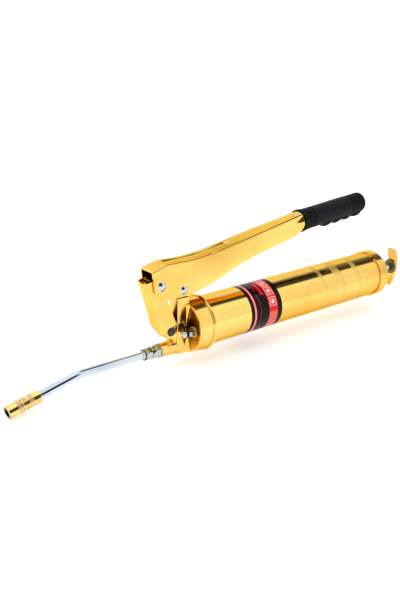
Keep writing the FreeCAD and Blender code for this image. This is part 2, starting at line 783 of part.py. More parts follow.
def make_pull_rod():
    front, handle = d["rod_front"], d["handle_x"]
    rod("pull_rod", "x", front, handle + 3.4, d["rod_radius"])
    ring("rod_stop", "x", front, CUP_X - 1.8, 7.0, ROD_HOLE)
    nut = hexagon("rod_nut_bar", CUP_X + 4.8, CUP_X + 10.3, 13.0)
    cut("rod_nut", nut, rod("rod_nut_hole", "x", CUP_X, CUP_X + 12, ROD_HOLE))
    hub_face = handle - d["hub_thick"]
    turned("handle_hub", [
        (hub_face + 0.9, ROD_HOLE),
        (hub_face, 5.0),
        (hub_face + 0.5, d["hub_radius"] - 1.6, 20.0),
        (hub_face + 1.2, d["hub_radius"] - 0.7),
        (hub_face + 1.2, d["hub_radius"]),
        (handle - 0.95, d["hub_radius"]),
        (handle - 0.95, 5.4),
        (handle - 0.28, 5.4),
        (handle - 0.28, ROD_HOLE),
    ][::-1])


def handle_profile(name, inset, over, half_width):
    """A bow between two arcs, its tips towards the barrel.

    The inset holds back its front face and its tips. It reaches over past the rear rim.
    """
    half = d["handle_half"].value - inset
    face, rim = d["handle_curve"].value + inset, d["handle_rim_curve"].value + over
    face_mid = d["handle_x"].value + inset
    rim_mid = (d["handle_x"] + d["handle_depth"]).value + over
    face_x = face_mid - face + math.sqrt(face ** 2 - half ** 2)
    rim_x = rim_mid - rim + math.sqrt(rim ** 2 - half ** 2)
    body = doc.addObject("PartDesign::Body", name)
    sketch = body_sketch(body, "XZ_Plane", name + "_outline")
    draw(sketch, [(face_x, -half, -face), (rim_x, -half), (rim_x, half, rim), (face_x, half)])
    pad = body.newObject("PartDesign::Pad", name + "_pad")
    pad.Profile = sketch
    pad.SideType = "Symmetric"
    bind(pad, Length=half_width * 2)
    return put(body, Rotation(Vector(1, 0, 0), d["handle_turn"].value))


def make_handle():
    sheet_thick = d["handle_sheet"]
    skin = handle_profile("handle_skin", 0, 0, d["handle_width_half"])
    hollow = handle_profile("handle_hollow", sheet_thick.value, 2.0,
                            d["handle_width_half"] - sheet_thick)
    hole = rod("handle_hole", "x", d["handle_x"] - 3, d["handle_x"] + 5, ROD_HOLE)
    cut("pull_handle", skin, hollow, hole)


# ---- outlet fittings and pipe ------------------------------------------------------------------

OUTLET = (0, d["outlet_height"])
WASHER_FRONT = d["boss_front"] - 1.2
ADAPTER_FRONT = WASHER_FRONT - 10.7
NUT_FRONT = ADAPTER_FRONT - 8.4
PIPE_END = ADAPTER_FRONT - 1.7


def make_outlet_fittings():
    ring("adapter_washer", "x", WASHER_FRONT, d["boss_front"], 8.0, 5.2, OUTLET)
    hexbar = hexagon("adapter_hex", ADAPTER_FRONT, WASHER_FRONT, d["hex_flats"], OUTLET)
    shoulder = cone("adapter_chamfer", "x", ADAPTER_FRONT - 2, WASHER_FRONT + 0.1, 6.0, 10.2, OUTLET)
    nose = rod("adapter_nose", "x", ADAPTER_FRONT, ADAPTER_NOSE - 0.1, 4.95, OUTLET)
    neck = rod("adapter_neck", "x", ADAPTER_FRONT - 6.0, ADAPTER_FRONT + 1, 5.2, OUTLET)
    solid = fused("adapter_solid", shared("adapter_head", hexbar, shoulder), nose, neck)
    cut("pipe_adapter", solid,
        rod("adapter_bore", "x", ADAPTER_FRONT - 8, ADAPTER_NOSE + 1, 2.3, OUTLET),
        rod("adapter_socket", "x", ADAPTER_FRONT - 8, PIPE_END + 0.2, 4.56, OUTLET))

    nut_rear = ADAPTER_FRONT - 0.8
    nut_bar = hexagon("pipe_nut_hex", NUT_FRONT, nut_rear, d["nut_flats"], OUTLET)
    nut_turn = cone("pipe_nut_chamfer", "x", NUT_FRONT - 0.1, nut_rear + 0.1, 7.0, 10.4, OUTLET)
    cut("pipe_nut", shared("pipe_nut_solid", nut_bar, nut_turn),
        rod("pipe_nut_thread", "x", NUT_FRONT - 1, nut_rear + 1, 5.25, OUTLET),
        cone("pipe_nut_mouth", "x", NUT_FRONT - 0.1, NUT_FRONT + 2.6, 6.2, 5.25, OUTLET))

    collar = turned("pipe_collar", [
        (0, 4.56), (0, 4.85), (0.4, 5.2), (5.4, 5.2), (5.4, 4.56),
    ])
    put(collar, Rotation(), x=NUT_FRONT - 3.4, z=d["outlet_height"])


def make_outlet_valve():
    gap = 0.03
    reach = math.sqrt(3.0 ** 2 - 1.8 ** 2)
    ball("outlet_ball", 3.0, x=VALVE_SEAT - reach - gap, z=d["outlet_height"])
    coil("outlet_spring", "x", ADAPTER_NOSE + 0.6, VALVE_SEAT - reach - 2.6, 2.4, 0.3, 6, OUTLET)


COUPLER_TILT = Rotation(Vector(0, 1, 0), -d["bend_angle"].value)
MOUTH_Z = d["outlet_height"] - (d["bend_x"] - d["mouth_x"]) * math.tan(
    math.radians(d["bend_angle"].value))


def make_pipe():
    """A tube bent once in the plane of the lever, drawn from the adapter to the coupler."""
    angle = math.radians(d["bend_angle"].value)
    setback = d["bend_radius"].value * math.tan(angle / 2)
    corner_x = (d["bend_x"] - PIPE_END).value
    coupler_end = (d["mouth_x"].value - d["bend_x"].value) / math.cos(angle)
    second = -coupler_end - (d["coupler_length"].value - 9.5)
    body = doc.addObject("PartDesign::Body", "outlet_pipe")
    path = body_sketch(body, "XZ_Plane", "pipe_path")
    first_end = Vector(corner_x + setback, 0, 0)
    way = Vector(-math.cos(angle), -math.sin(angle), 0)
    second_start = Vector(corner_x, 0, 0) + way * setback
    last = Vector(corner_x, 0, 0) + way * second
    path.addGeometry([
        Part.LineSegment(Vector(), first_end),
        arc_between(first_end, second_start, d["bend_radius"].value),
        Part.LineSegment(second_start, last),
    ], False)
    path.addConstraint(Sketcher.Constraint("Coincident", 0, 2, 1, 1))
    path.addConstraint(Sketcher.Constraint("Coincident", 1, 2, 2, 1))
    section = body_sketch(body, "YZ_Plane", "pipe_section")
    for i, size in enumerate((d["pipe_radius"], d["pipe_bore"])):
        section.addGeometry(Part.Circle(Vector(), Vector(0, 0, 1), size.value), False)
        section.addConstraint(Sketcher.Constraint("Coincident", i, 3, -1, 1))
        number = section.addConstraint(Sketcher.Constraint("Radius", i, size.value))
        section.setExpression("Constraints[" + str(number) + "]", size.formula)
    pipe = body.newObject("PartDesign::AdditivePipe", "pipe_sweep")
    pipe.Profile = section
    pipe.Spine = (path, ["Edge1", "Edge2", "Edge3"])
    put(body, Rotation(), x=PIPE_END, z=d["outlet_height"])


# ---- coupler: each piece's own X axis runs from the mouth back along the coupler ---------------

def in_coupler(obj, inward=0):
    shift = COUPLER_TILT.multVec(Vector(inward, 0, 0))
    return put(obj, COUPLER_TILT, x=d["mouth_x"] + shift.x, z=MOUTH_Z + shift.z)


def make_coupler_shells():
    radius, mouth, split = d["coupler_radius"], d["mouth_radius"], d["sleeve_length"]
    in_coupler(turned("coupler_sleeve", [
        (0, mouth),
        (0, radius - 0.9),
        (0.6, radius - 0.3),
        (11.4, radius - 0.3),
        (11.7, radius - 0.6),
        (12.3, radius - 0.6),
        (12.6, radius - 0.1),
        (split - 0.5, radius - 0.1),
        (split, radius - 0.6),
        (split, 5.2),
        (4.4, 5.2),
        (3.0, mouth),
    ]))
    length = d["coupler_length"]
    socket = d["pipe_radius"] + 0.06
    in_coupler(turned("coupler_body", [
        (11.0, 4.45),
        (11.0, 5.15),
        (split + 0.2, 5.15),
        (split + 0.2, radius - 0.6),
        (split + 0.7, radius - 0.1),
        (27.4, radius - 0.1),
        (27.7, radius),
        (length - 0.6, radius),
        (length, radius - 0.6),
        (length, socket),
        (27.5, socket),
        (27.5, 1.5),
        (24.6, 1.5),
        (24.6, 2.85),
        (18.6, 2.85),
        (18.6, 4.45),
    ]))


def make_coupler_jaws():
    """Three spring-loaded jaws that close on the head of a grease nipple."""
    cone_ring = turned("jaw_ring", [
        (3.8, 3.35), (3.8, 3.8), (5.0, 4.85), (9.2, 4.85), (9.2, 3.35),
    ])
    slots = []
    for i in range(3):
        turn = Rotation(Vector(1, 0, 0), 120 * i)
        slot = doc.addObject("Part::Box", "jaw_slot_" + str(i))
        slot.Length, slot.Width, slot.Height = 8, 0.8, 7
        slot.Placement = Placement(turn.multVec(Vector(2, -0.4, 0)), turn)
        slots.append(slot)
    in_coupler(cut("coupler_jaws", cone_ring, *slots))


def make_coupler_inside():
    in_coupler(turned("coupler_seal", [
        (9.5, 1.4), (9.5, 4.4), (10.3, 4.4), (11.6, 3.4), (11.6, 1.4),
    ]))
    in_coupler(turned("spring_seat", [(17.4, 1.2), (17.4, 4.3), (18.5, 4.3), (18.5, 1.2)]))
    reach = math.sqrt(2.5 ** 2 - 1.5 ** 2)
    check = doc.addObject("Part::Sphere", "coupler_ball")
    check.Radius = 2.5
    in_coupler(check, 24.6 - reach - 0.03)


def coupler_coil(name, start, end, radius, wire, turns):
    spring = coil(name, "x", start, end, radius, wire, turns)
    spring.setExpression("Placement.Base.x", None)
    shift = COUPLER_TILT.multVec(Vector(start, 0, 0))
    return put(spring, COUPLER_TILT.multiply(TURN["x"]),
               x=d["mouth_x"] + shift.x, z=MOUTH_Z + shift.z)


def make_coupler_springs():
    coupler_coil("coupler_spring", 12.3, 16.9, 3.75, 0.4, 4)
    coupler_coil("coupler_ball_spring", 18.9, 20.4, 1.7, 0.25, 2.5)


# ---- bleeder valve: a push button on a hexagon body in the head's near pocket ------------------

HEX_FRONT = BLEEDER_SEAT - 8.8
BUTTON_LENGTH = 3.3


def make_bleeder():
    flange = rod("bleeder_flange", "x", BLEEDER_SEAT - 1.2, BLEEDER_SEAT, 5.4, BLEEDER_AT)
    hexbar = hexagon("bleeder_hex", HEX_FRONT, BLEEDER_SEAT - 1, d["bleeder_flats"], BLEEDER_AT)
    thread = rod("bleeder_thread", "x", BLEEDER_SEAT - 1, d["head_seat"] + 0.2, 3.45, BLEEDER_AT)
    cut("bleeder_body", fused("bleeder_solid", flange, hexbar, thread),
        rod("bleeder_bore", "x", HEX_FRONT - 1, d["head_seat"] + 2, 1.6, BLEEDER_AT),
        rod("bleeder_chamber", "x", HEX_FRONT - 1, HEX_FRONT + 6.5, 2.6, BLEEDER_AT))

    head_rear = HEX_FRONT - 3.4
    stem_end = d["head_seat"] + 0.35 - (head_rear - BUTTON_LENGTH)
    button = turned("bleeder_button", [
        (0, 0),
        (0, d["button_radius"] - 1.4),
        (1.5, d["button_radius"], -2.4),
        (BUTTON_LENGTH, d["button_radius"]),
        (BUTTON_LENGTH, 1.5),
        (stem_end, 1.5),
        (stem_end, 2.4),
        (stem_end + 1.15, 2.4),
        (stem_end + 1.15, 0),
    ])
    put(button, Rotation(), x=head_rear - BUTTON_LENGTH, y=d["bleeder_y"], z=d["bleeder_z"])
    o_ring = doc.addObject("Part::Torus", "bleeder_o_ring")
    o_ring.Radius1, o_ring.Radius2 = 3.7, 1.05
    along(o_ring, "x", head_rear + 1.06, BLEEDER_AT)
    coil("bleeder_spring", "x", HEX_FRONT - 2.8, HEX_FRONT + 6.1, 2.05, 0.24, 6, BLEEDER_AT)


# ---- build, check and export -------------------------------------------------------------------

NODES = [
    "head", "barrel", "label_band", "end_cap", "barrel_gasket",
    "link", "lever", "lever_grip", "lever_rivet", "plunger_rivet", "link_pin",
    "plunger", "plunger_seal",
    "follower_front_plate", "follower_cup", "follower_rear_plate", "follower_spring",
    "pull_rod", "rod_stop", "rod_nut", "handle_hub", "pull_handle",
    "pipe_adapter", "adapter_washer", "pipe_nut", "pipe_collar", "outlet_pipe",
    "outlet_ball", "outlet_spring",
    "coupler_sleeve", "coupler_body", "coupler_jaws", "coupler_seal", "spring_seat",
    "coupler_ball", "coupler_spring", "coupler_ball_spring",
    "bleeder_body", "bleeder_button", "bleeder_o_ring", "bleeder_spring",
]

for make in (
    make_barrel, make_label, make_end_cap, make_head, make_barrel_gasket, make_plunger_seal,
    make_lever, make_grip, make_link, make_pins, make_plunger, make_follower, make_pull_rod,
    make_handle, make_outlet_fittings, make_outlet_valve, make_pipe, make_coupler_shells,
    make_coupler_jaws, make_coupler_inside, make_coupler_springs, make_bleeder,
):
    make()

doc.recompute()
failed = [obj.Name for obj in doc.Objects if "Invalid" in obj.State or "Error" in obj.State]
if failed:
    raise SystemExit("failed objects: " + ", ".join(failed))

os.makedirs("parts", exist_ok=True)
for node in NODES:
    obj = doc.getObject(node)
    obj.Label = node
    shape = obj.Shape
    if shape.isNull() or not shape.isValid() or not shape.Solids:
        raise SystemExit("bad shape: " + node)
for node in NODES:
    shape = doc.getObject(node).Shape
    shape.exportStep("parts/" + node + ".step")
    print(node, "solids", len(shape.Solids), "volume", round(shape.Volume, 1))
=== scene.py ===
import math

import bmesh
import bpy
from mathutils import Matrix, Vector


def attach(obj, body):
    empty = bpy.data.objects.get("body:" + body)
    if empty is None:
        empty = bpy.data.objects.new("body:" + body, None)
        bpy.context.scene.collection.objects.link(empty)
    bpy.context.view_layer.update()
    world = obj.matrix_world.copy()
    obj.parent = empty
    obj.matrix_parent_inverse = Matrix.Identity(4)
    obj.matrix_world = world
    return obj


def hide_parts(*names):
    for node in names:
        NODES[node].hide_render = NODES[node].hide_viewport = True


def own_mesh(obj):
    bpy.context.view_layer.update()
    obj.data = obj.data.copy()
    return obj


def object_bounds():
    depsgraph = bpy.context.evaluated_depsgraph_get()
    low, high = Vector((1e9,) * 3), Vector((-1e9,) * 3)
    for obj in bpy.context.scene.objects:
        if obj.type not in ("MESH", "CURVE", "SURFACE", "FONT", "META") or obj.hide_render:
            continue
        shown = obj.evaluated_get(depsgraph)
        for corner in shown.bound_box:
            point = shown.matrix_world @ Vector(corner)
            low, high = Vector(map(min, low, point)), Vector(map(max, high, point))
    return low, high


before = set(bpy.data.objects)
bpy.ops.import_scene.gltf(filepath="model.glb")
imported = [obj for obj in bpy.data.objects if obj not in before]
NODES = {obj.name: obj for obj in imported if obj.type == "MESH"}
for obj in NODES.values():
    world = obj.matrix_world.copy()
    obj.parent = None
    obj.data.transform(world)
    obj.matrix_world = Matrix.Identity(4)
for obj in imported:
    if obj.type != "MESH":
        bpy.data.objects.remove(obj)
cad_low, cad_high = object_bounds()
MM = 0.001


# ---- shader helpers ------------------------------------------------------------------------------

class Shader:
    """A node material built step by step."""

    def __init__(self, name):
        self.material = bpy.data.materials.new(name)
        self.material.use_nodes = True
        self.tree = self.material.node_tree
        self.surface = self.tree.nodes["Principled BSDF"]

    def node(self, kind, **settings):
        made = self.tree.nodes.new(kind)
        for key, value in settings.items():
            setattr(made, key, value)
        return made

    def link(self, source, target):
        self.tree.links.new(source, target)

    def feed(self, target, value):
        if isinstance(value, (int, float, tuple, list)):
            target.default_value = value
        else:
            self.link(value, target)

    def set(self, **sockets):
        for name, value in sockets.items():
            self.feed(self.surface.inputs[name.replace("_", " ")], value)

    def math(self, operation, first, second=0.0):
        made = self.node("ShaderNodeMath", operation=operation)
        self.feed(made.inputs[0], first)
        self.feed(made.inputs[1], second)
        return made.outputs[0]

    def place(self):
        """The row frame's coordinates, in metres."""
        return self.node("ShaderNodeTexCoord").outputs["Object"]

    def axes(self):
        split = self.node("ShaderNodeSeparateXYZ")
        self.link(self.place(), split.inputs[0])
        return split.outputs

    def stretched(self, x, y, z):
        mapping = self.node("ShaderNodeMapping")
        self.link(self.place(), mapping.inputs["Vector"])
        mapping.inputs["Scale"].default_value = (x, y, z)
        return mapping.outputs[0]

    def turned_place(self, corner, tilt):
        """Coordinates with their origin at a corner and X along a line that rises by the tilt."""
        mapping = self.node("ShaderNodeMapping")
        self.link(self.place(), mapping.inputs["Vector"])
        mapping.inputs["Rotation"].default_value = (0, tilt, 0)
        mapping.inputs["Location"].default_value = -(Matrix.Rotation(tilt, 3, "Y") @ Vector(corner))
        split = self.node("ShaderNodeSeparateXYZ")
        self.link(mapping.outputs[0], split.inputs[0])
        return split.outputs

    def angle(self, across, up):
        """Angle about an axis, 0 where up is zero and across is positive."""
        return self.math("ARCTAN2", up, across)

    def distance(self, first, second):
        squares = [self.math("MULTIPLY", value, value) for value in (first, second)]
        return self.math("SQRT", self.math("ADD", *squares))

    def diamonds(self, along, angle, pitch, starts):
        """Knurling: 0 in its grooves and 1 on its points. Starts is its number of threads."""
        around = self.math("MULTIPLY", angle, starts)
        length = self.math("MULTIPLY", along, 2 * math.pi / pitch)
        waves = [self.math("SINE", self.math(sign, length, around)) for sign in ("ADD", "SUBTRACT")]
        highest = self.math("MAXIMUM", *waves)
        return self.remap(highest, 0.2, 1.0, 1, 0)

    def noise(self, scale, detail=3.0, vector=None):
        made = self.node("ShaderNodeTexNoise")
        made.inputs["Scale"].default_value = scale
        made.inputs["Detail"].default_value = detail
        self.link(vector or self.place(), made.inputs["Vector"])
        return made.outputs["Fac"]

    def remap(self, value, low, high, to_low, to_high):
        made = self.node("ShaderNodeMapRange")
        self.feed(made.inputs["Value"], value)
        for name, number in zip(("From Min", "From Max", "To Min", "To Max"),
                                (low, high, to_low, to_high)):
            made.inputs[name].default_value = number
        return made.outputs[0]

    def between(self, value, low, high, edge=0.00015):
        """1 where value lies between low and high, with a soft edge."""
        rise = self.remap(value, low - edge, low + edge, 0, 1)
        fall = self.remap(value, high - edge, high + edge, 1, 0)
        return self.math("MULTIPLY", rise, fall)

    def any_of(self, value, spans, edge=0.00015):
        """1 where value lies in one of several spans."""
        masks = [self.between(value, low, high, edge) for low, high in spans]
        total = masks[0]
        for mask in masks[1:]:
            total = self.math("ADD", total, mask)
        return total

    def mix(self, factor, first, second):
        made = self.node("ShaderNodeMix", data_type="RGBA")
        self.feed(made.inputs["Factor"], factor)
        self.feed(made.inputs[6], first)
        self.feed(made.inputs[7], second)
        return made.outputs[2]

    def bump(self, height, strength, distance):
        made = self.node("ShaderNodeBump")
        made.inputs["Strength"].default_value = strength
        made.inputs["Distance"].default_value = distance
        self.link(height, made.inputs["Height"])
        self.link(made.outputs[0], self.surface.inputs["Normal"])


def linear(red, green, blue):
    """An sRGB colour, 0 to 255, as scene-linear RGBA."""
    parts = [c / 255 for c in (red, green, blue)]
    parts = [c / 12.92 if c <= 0.04045 else ((c + 0.055) / 1.055) ** 2.4 for c in parts]
    return (*parts, 1.0)


# ---- materials -----------------------------------------------------------------------------------

GOLD, GOLD_DEEP = linear(246, 212, 120), linear(234, 190, 98)
GOLD_EDGE, GOLD_BAND = linear(240, 208, 146), linear(240, 202, 118)
# The first colour is a painted reflection: the darker tone of stretched streaks that stand for
# reflected shade on the plated parts.
# The second colour is painted shade: the brown that fills the head's pockets.
GOLD_STREAK_SHADE, POCKET_SHADE_BROWN = linear(196, 152, 70), linear(150, 112, 52)

# The head's pockets, which get a painted shade: where they start and are fully deep along X, and the
# radius that they fill.
POCKET_START, POCKET_DEEP = -159.7 * MM, -157.5 * MM
POCKET_INNER, POCKET_OUTER = 27.2 * MM, 27.7 * MM

ROLLED_BANDS = ((36.5 * MM, 42.3 * MM), (60.9 * MM, 73.2 * MM), (96.3 * MM, 104.1 * MM))

TILT = math.radians(4.26)               # the lever's grip rises by it towards the rear
GRIP_CORNER = (11.5 * MM, 0, 92.3 * MM)
COUPLER_TILT = math.radians(12.5)       # the coupler falls by it towards its mouth
COUPLER_MOUTH = (-381.1 * MM, 0, -38.502 * MM)

# Places along the coupler from its mouth.
KNURLS = ((10.6 * MM, 15.8 * MM), (23.2 * MM, 28.6 * MM))
GROOVES = ((18.2 * MM, 18.6 * MM), (20.4 * MM, 20.8 * MM))
LIP_DEPTH, LIP_RADIUS = 0.5 * MM, 6.2 * MM

# The hatched panel of the grip, from the grip's front end.
PANEL_START, PANEL_END, PANEL_RISE = 20.5 * MM, 82.5 * MM, 0.3 * MM
HATCH_INSET, HATCH_PITCH, HATCH_STARTS = 0.5 * MM, 2.7 * MM, 22

# The label's print, in places along X and in angles above the level of the barrel's -Y side.
RING, RING_MIDDLE = (-78.8 * MM, -75.4 * MM), (-77.8 * MM, -76.4 * MM)
WORDS = (
    (-70.0 * MM, -68.5 * MM, -1.2, 0.9, linear(150, 24, 28)),
    (-69.0 * MM, -67.8 * MM, 1.0, 1.6, linear(170, 30, 32)),
    (-66.8 * MM, -66.0 * MM, 1.05, 1.6, linear(150, 24, 28)),
)
BAR, BAR_ANGLES = (-63.2 * MM, -58.2 * MM), (0.82, 1.5)
RED_BAND = (-55.8 * MM, -42.4 * MM)
SALMON_TOP, SALMON_INSET = 0.03, 0.3 * MM
BOX_ANGLES = (1.36, 0.92, 0.44)


def pocket_shade_mask(s):
    """1 in the head's two cast pockets, where the colour is darkened to brown as painted shade."""
    x, y, z = s.axes()
    out = s.distance(y, z)
    deep = s.remap(x, POCKET_START, POCKET_DEEP, 0, 1)
    inside = s.remap(out, POCKET_INNER, POCKET_OUTER, 1, 0)
    return s.math("MULTIPLY", deep, inside)


def polished(name, colour, deep, roughness, grain=0.0, edge=None, recess_shade=None, streak_shade=None):
    """Plated metal: fine polishing lines, faint clouding and a colour that shifts a little.

    One mask argument places a brown painted shade in recesses, and one tone argument is a darker
    painted reflection that drifts over the metal in stretched streaks."""
    s = Shader(name)
    cloud = s.math("ADD", s.math("MULTIPLY", s.noise(14, 2), 0.5),
                   s.math("MULTIPLY", s.noise(30, 2, s.stretched(0.35, 1, 1.3)), 0.5))
    tone = s.mix(s.remap(cloud, 0.38, 0.62, 0, 1), colour, deep)
    # Painted reflection: darker stretched streaks that stand for reflected shade.
    if streak_shade:
        drift = s.noise(11, 1.5, s.stretched(0.7, 1, 1.6))
        tone = s.mix(s.remap(drift, 0.54, 0.70, 0, 0.6), tone, streak_shade)
    # Painted shade: the recess mask darkens the pockets to brown.
    if recess_shade:
        tone = s.mix(recess_shade(s), tone, POCKET_SHADE_BROWN)
    s.set(Base_Color=tone, Metallic=1.0)
    if edge:
        s.set(Specular_Tint=edge)
    lines = s.noise(60, 4, s.stretched(1.2, 30, 30))
    s.set(Roughness=s.remap(lines, 0.3, 0.7, roughness * 0.75, roughness * 1.3))
    if grain:
        s.bump(s.noise(900, 3), grain, 0.00012)
    return s


# The plated parts carry the painted streaks of reflected shade.
gold = polished("gold_plate", GOLD, GOLD_DEEP, 0.10, edge=GOLD_EDGE, streak_shade=GOLD_STREAK_SHADE).material
# The head's casting carries the painted shade in its pockets.
cast_gold = polished("gold_casting", GOLD, GOLD_DEEP, 0.13, 0.06, GOLD_EDGE,
                     pocket_shade_mask).material
chrome = polished("chrome_plate", linear(208, 218, 228), linear(190, 202, 216), 0.08).material
zinc = polished("bright_zinc", linear(198, 204, 208), linear(168, 175, 180), 0.15).material
steel = polished("plain_steel", linear(170, 173, 178), linear(150, 152, 156), 0.28).material
dark_steel = polished("dark_steel", linear(78, 78, 80), linear(58, 58, 60), 0.35).material
olive_steel = polished("olive_zinc", linear(120, 112, 74), linear(92, 90, 70), 0.3).material


def make_barrel_material():
    """The barrel's plating, duller and finely ridged on the rolled bands."""
    s = Shader("barrel_plate")
    x = s.axes()[0]
    bands = s.any_of(x, ROLLED_BANDS)
    cloud = s.noise(10, 2)
    plate = s.mix(s.remap(cloud, 0.35, 0.7, 0, 1), GOLD, GOLD_DEEP)
    s.set(Base_Color=s.mix(bands, plate, GOLD_BAND), Metallic=1.0,
          Specular_Tint=GOLD_EDGE)
    lines = s.noise(60, 4, s.stretched(0.6, 40, 40))
    polish = s.remap(lines, 0.3, 0.7, 0.05, 0.09)
    ridges = s.noise(500, 2, s.stretched(1, 0.05, 0.05))
    s.set(Roughness=s.math("ADD", polish, s.math("MULTIPLY", bands, 0.3)))
    s.bump(s.math("MULTIPLY", bands, ridges), 0.12, 0.0002)
    return s.material


def make_label_material():
    """A black band with red rings, and plain boxes in place of the printed words."""
    s = Shader("label_print")
    x, y, z = s.axes()
    angle = s.angle(s.math("MULTIPLY", y, -1), z)
    black, red = linear(13, 12, 13), linear(236, 30, 26)
    white, salmon = linear(232, 214, 204), linear(232, 106, 92)
    colour = s.mix(s.between(x, *RING), black, linear(226, 50, 52))
    colour = s.mix(s.between(x, *RING_MIDDLE), colour, linear(255, 186, 180))
    dashes = s.between(s.noise(900, 0), 0.42, 1.2, 0.03)
    for low, high, first, last, tone in WORDS:
        line = s.math("MULTIPLY", s.between(x, low, high), s.between(angle, first, last, 0.02))
        colour = s.mix(s.math("MULTIPLY", line, dashes), colour, tone)
    bar = s.math("MULTIPLY", s.between(x, *BAR), s.between(angle, *BAR_ANGLES, 0.02))
    colour = s.mix(bar, colour, linear(204, 28, 34))
    band_low, band_high = RED_BAND
    colour = s.mix(s.between(x, band_low, band_high), colour, red)
    lower = s.math("MULTIPLY", s.between(x, band_low + SALMON_INSET, band_high - SALMON_INSET),
                   s.between(angle, -4, SALMON_TOP, 0.02))
    colour = s.mix(lower, colour, salmon)
    middle_x = (band_low + band_high) / 2
    for middle in BOX_ANGLES:
        for half_x, half, tone in ((5.0 * MM, 0.19, white), (4.3 * MM, 0.16, red),
                                   (2.2 * MM, 0.09, white)):
            box = s.math("MULTIPLY", s.between(x, middle_x - half_x, middle_x + half_x),
                         s.between(angle, middle - half, middle + half, 0.006))
            colour = s.mix(box, colour, tone)
    s.set(Base_Color=colour, Roughness=s.remap(s.noise(60, 3), 0.3, 0.7, 0.13, 0.2),
          Specular_IOR_Level=0.1)
    s.bump(s.noise(300, 2), 0.03, 0.0001)
    return s.material


def make_soft_material(name, shade, rough):
    """Rubber or nylon: one plain shade with a faint grain."""
    s = Shader(name)
    s.set(Base_Color=shade, Roughness=s.remap(s.noise(300, 4), 0.3, 0.7, rough, rough + 0.15))
    s.bump(s.noise(2500, 2), 0.15, 0.0001)
    return s.material


def make_grip_material():
    """Moulded rubber with a fine diamond texture between two plain ends."""
    s = Shader("grip_rubber")
    along, y, up = s.turned_place(GRIP_CORNER, TILT)
    angle = s.angle(up, y)
    panel = s.between(along, PANEL_START + HATCH_INSET, PANEL_END - HATCH_INSET, 0.6 * MM)
    points = s.math("MULTIPLY", panel, s.diamonds(along, angle, HATCH_PITCH, HATCH_STARTS))
    s.set(Specular_IOR_Level=0.12,
          Base_Color=s.mix(points, linear(5, 5, 6), linear(17, 17, 18)),
          Roughness=s.math("SUBTRACT", s.remap(s.noise(300, 4), 0.3, 0.7, 0.55, 0.7),
                           s.math("MULTIPLY", panel, 0.14)))
    height = s.math("ADD", points, s.math("MULTIPLY", s.noise(2600, 2), 0.12))
    s.bump(height, 0.8, 0.0004)
    return s.material


def make_chromate_material():
    """Yellow chromate: bright turned parts with two grooves, and two knurled, iridescent bands."""
    s = Shader("yellow_chromate")
    along, y, up = s.turned_place(COUPLER_MOUTH, COUPLER_TILT)
    angle = s.angle(up, y)
    knurled = s.any_of(along, KNURLS, 0.2 * MM)
    knurl = s.math("MULTIPLY", knurled, s.diamonds(along, angle, 1.6 * MM, 24))
    grooves = s.any_of(along, GROOVES)
    tint = s.mix(s.remap(s.noise(150, 2), 0.42, 0.58, 0, 1), linear(240, 196, 122),
                 linear(236, 178, 160))
    tint = s.mix(s.remap(s.noise(210, 2), 0.52, 0.66, 0, 1), tint, linear(206, 206, 150))
    ends = s.mix(s.remap(s.noise(90, 2), 0.4, 0.65, 0, 1), linear(250, 224, 138),
                 linear(230, 184, 104))
    tone = s.mix(grooves, s.mix(knurled, ends, tint), linear(92, 62, 34))
    # A dark ring painted on the front face around the mouth.
    lip = s.math("MULTIPLY", s.between(along, -1, LIP_DEPTH),
                 s.between(s.distance(y, up), -1, LIP_RADIUS))
    tone = s.mix(lip, tone, linear(58, 42, 26))
    s.set(Base_Color=tone, Metallic=1.0,
          Roughness=s.math("ADD", s.remap(s.noise(400, 2), 0.3, 0.7, 0.07, 0.13),
                           s.math("MULTIPLY", knurled, 0.1)))
    s.bump(s.math("SUBTRACT", knurl, grooves), 0.4, 0.0002)
    return s.material


barrel_plate = make_barrel_material()
label_print = make_label_material()
rubber = make_soft_material("seal_rubber", linear(22, 22, 24), 0.35)
grip_rubber = make_grip_material()
chromate = make_chromate_material()
nylon = make_soft_material("nylon", linear(214, 208, 190), 0.45)

LOOKS = {
    barrel_plate: ["barrel"],
    gold: ["end_cap", "lever", "link", "pull_handle"],
    cast_gold: ["head"],
    label_print: ["label_band"],
    grip_rubber: ["lever_grip"],
    rubber: ["barrel_gasket", "plunger_seal", "follower_cup", "bleeder_o_ring"],
    chrome: ["lever_rivet", "plunger_rivet", "plunger", "pull_rod", "outlet_pipe", "outlet_ball",
             "coupler_ball", "bleeder_button"],
    zinc: ["pipe_adapter", "pipe_nut", "pipe_collar", "bleeder_body"],
    steel: ["follower_front_plate", "follower_rear_plate", "follower_spring", "rod_stop",
            "rod_nut", "adapter_washer", "outlet_spring", "spring_seat",
            "coupler_spring", "coupler_ball_spring", "bleeder_spring"],
    dark_steel: ["link_pin", "coupler_jaws"],
    olive_steel: ["handle_hub"],
    chromate: ["coupler_sleeve", "coupler_body"],
    nylon: ["coupler_seal"],
}
for material, names in LOOKS.items():
    for name in names:
        NODES[name].data.materials.clear()
        NODES[name].data.materials.append(material)


# ---- moulded grip --------------------------------------------------------------------------------

